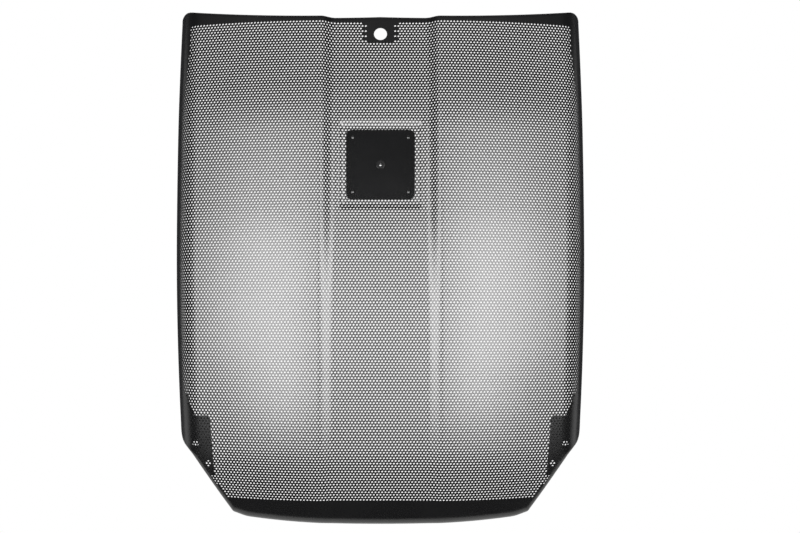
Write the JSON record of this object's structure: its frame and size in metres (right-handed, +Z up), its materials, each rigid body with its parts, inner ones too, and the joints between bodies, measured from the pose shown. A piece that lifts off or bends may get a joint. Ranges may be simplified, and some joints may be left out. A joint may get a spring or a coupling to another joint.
{
  "type": "vehicle hood front grille",
  "caption": "Tall pressed front grille of perforated steel sheet, with a rolled rim, a shallow middle channel, cut lower corners, a latch hole, a riveted badge plate in a shallow seat, and corner brackets.",
  "frame": {"origin": "midway between the two upper bracket bolts, on the front face of the bracket plates", "axes": "+X to the right as seen from the front, +Z up, front of the grille faces -Y"},
  "size_m": [0.6238, 0.1425, 0.7839],
  "materials": {
    "panel_paint": "satin black paint over pressed steel",
    "plate_paint": "satin black paint, fine and flat",
    "rivet_steel": "thin black paint over domed steel heads",
    "insert_steel": "blackened steel",
    "bracket_paint": "semi-gloss black paint"
  },
  "bodies": {
    "root": {"grille_panel": "panel_paint", "badge_plate": "plate_paint", "badge_rivets": "rivet_steel", "badge_insert": "insert_steel", "bracket_left": "bracket_paint", "bracket_right": "bracket_paint"}
  },
  "joints": []
}
